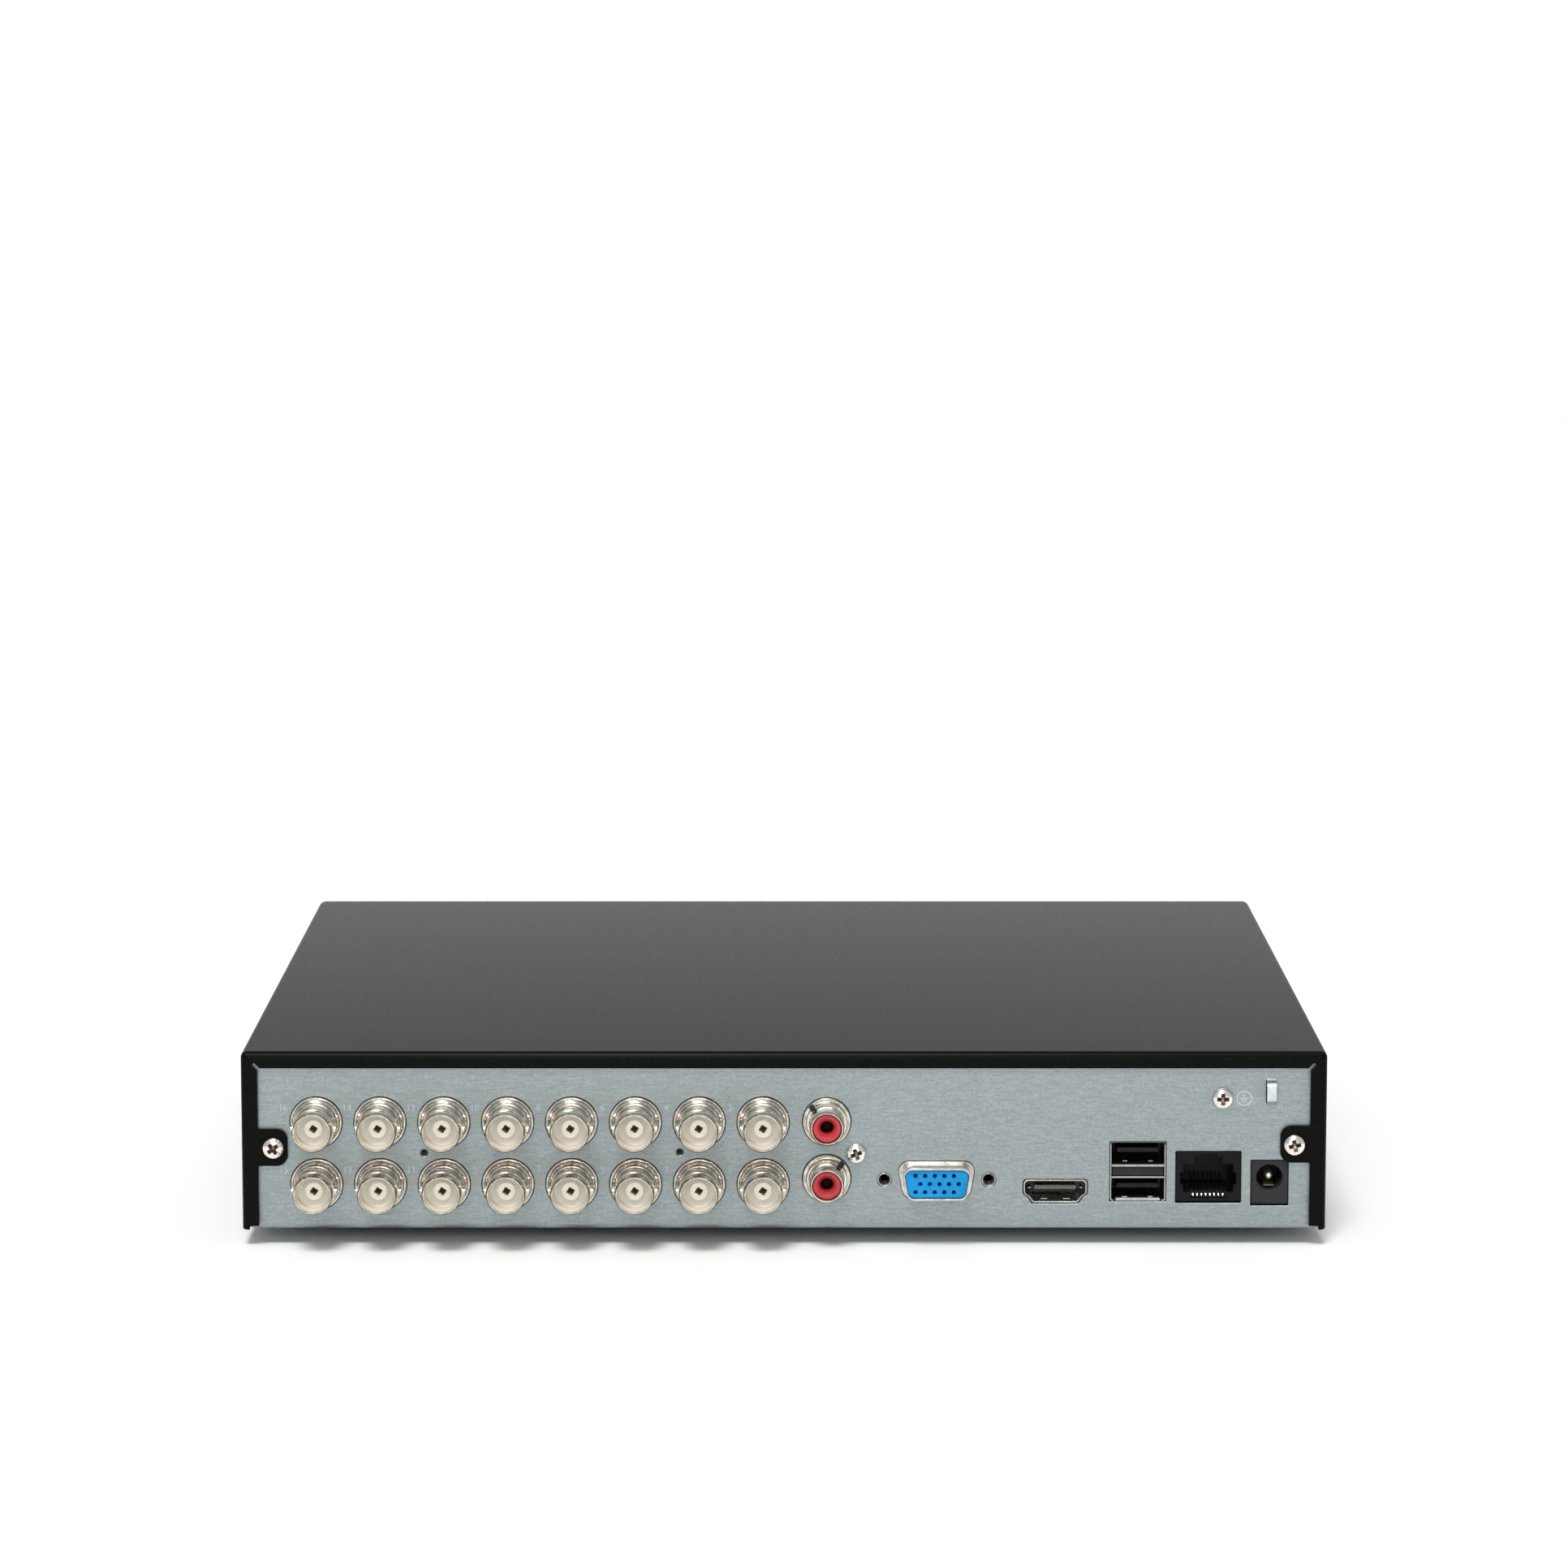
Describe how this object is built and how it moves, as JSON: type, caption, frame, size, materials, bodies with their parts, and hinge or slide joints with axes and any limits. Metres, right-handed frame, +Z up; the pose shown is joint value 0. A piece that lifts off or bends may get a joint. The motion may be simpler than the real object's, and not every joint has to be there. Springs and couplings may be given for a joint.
{
  "type": "digital video recorder",
  "caption": "Compact security video recorder: folded steel case, rows of coaxial inputs and data sockets at the rear, plain front moulding, board and disk drive inside.",
  "frame": {"origin": "on the surface it stands on, under the middle of its box", "axes": "+X along the width, towards the coaxial inputs' end; +Y out of the rear connector panel; +Z up"},
  "size_m": [0.26, 0.238, 0.0476],
  "materials": {
    "galvanised_steel": "zinc coated sheet with a fine horizontal rolling grain, satin",
    "black_powder_coat": "fine textured black powder coat, satin",
    "nickel_plate": "bright nickel plate, slightly warm",
    "screw_metal": "bright nickel plated screw",
    "gloss_black_plastic": "glossy black moulding",
    "black_plastic": "satin black moulding",
    "cream_plastic": "off-white moulding",
    "red_plastic": "red moulding",
    "blue_plastic": "bright blue moulding",
    "clear_plastic": "clear moulding",
    "circuit_board": "green solder mask with soldered parts",
    "cast_aluminium": "bare aluminium",
    "bright_steel": "bright stainless sheet",
    "contact_brass": "gold flashed contacts",
    "rubber_foot": "matte black rubber",
    "red_cable": "red insulation",
    "grey_cable": "black and dark grey insulation"
  },
  "bodies": {
    "case": {"chassis": "galvanised_steel", "front_bezel": "gloss_black_plastic", "light_guide": "clear_plastic", "led_board": "circuit_board", "led_cable": "grey_cable", "foot_1": "rubber_foot", "foot_2": "rubber_foot", "foot_3": "rubber_foot", "foot_4": "rubber_foot", "bnc_jack_01": "nickel_plate", "bnc_jack_02": "nickel_plate", "bnc_jack_03": "nickel_plate", "bnc_jack_04": "nickel_plate", "bnc_jack_05": "nickel_plate", "bnc_jack_06": "nickel_plate", "bnc_jack_07": "nickel_plate", "bnc_jack_08": "nickel_plate", "bnc_jack_09": "nickel_plate", "bnc_jack_10": "nickel_plate", "bnc_jack_11": "nickel_plate", "bnc_jack_12": "nickel_plate", "bnc_jack_13": "nickel_plate", "bnc_jack_14": "nickel_plate", "bnc_jack_15": "nickel_plate", "bnc_jack_16": "nickel_plate", "rca_shell_upper": "nickel_plate", "rca_shell_lower": "nickel_plate", "bnc_housing": "cream_plastic", "rca_housing": "red_plastic", "vga_shell": "nickel_plate", "vga_insert": "blue_plastic", "hdmi_shell": "nickel_plate", "hdmi_insert": "black_plastic", "usb_shell": "nickel_plate", "usb_insert": "black_plastic", "rj45_housing": "black_plastic", "rj45_contacts": "contact_brass", "dc_jack_housing": "black_plastic", "dc_jack_pin": "nickel_plate", "connector_screw": "screw_metal", "ground_screw": "screw_metal", "main_board": "circuit_board", "heatsink": "cast_aluminium", "coin_cell": "bright_steel", "board_screw_1": "screw_metal", "board_screw_2": "screw_metal", "hdd_base": "cast_aluminium", "hdd_lid": "bright_steel", "hdd_board": "circuit_board", "sata_data_cable": "red_cable", "sata_power_cable": "grey_cable", "hdd_screw_1": "screw_metal", "hdd_screw_2": "screw_metal", "hdd_screw_3": "screw_metal", "hdd_screw_4": "screw_metal"},
    "cover": {"top_cover": "black_powder_coat", "cover_screw_left": "screw_metal", "cover_screw_right": "screw_metal"},
    "drive_disc": {"hdd_platter": "bright_steel"},
    "drive_arm": {"hdd_actuator": "cast_aluminium"}
  },
  "joints": [
    {"name": "cover_slide", "type": "slide", "parent": "case", "child": "cover", "axis": [0, 1, 0], "range_m": [0, 0.24]},
    {"name": "disc_spin", "type": "hinge", "parent": "case", "child": "drive_disc", "pos_m": [-0.058, -0.0532, 0.02], "axis": [0, 0, 1], "continuous": true},
    {"name": "arm_swing", "type": "hinge", "parent": "case", "child": "drive_arm", "pos_m": [0, -0.0272, 0.02], "axis": [0, 0, -1], "range_deg": [0, 35]}
  ]
}
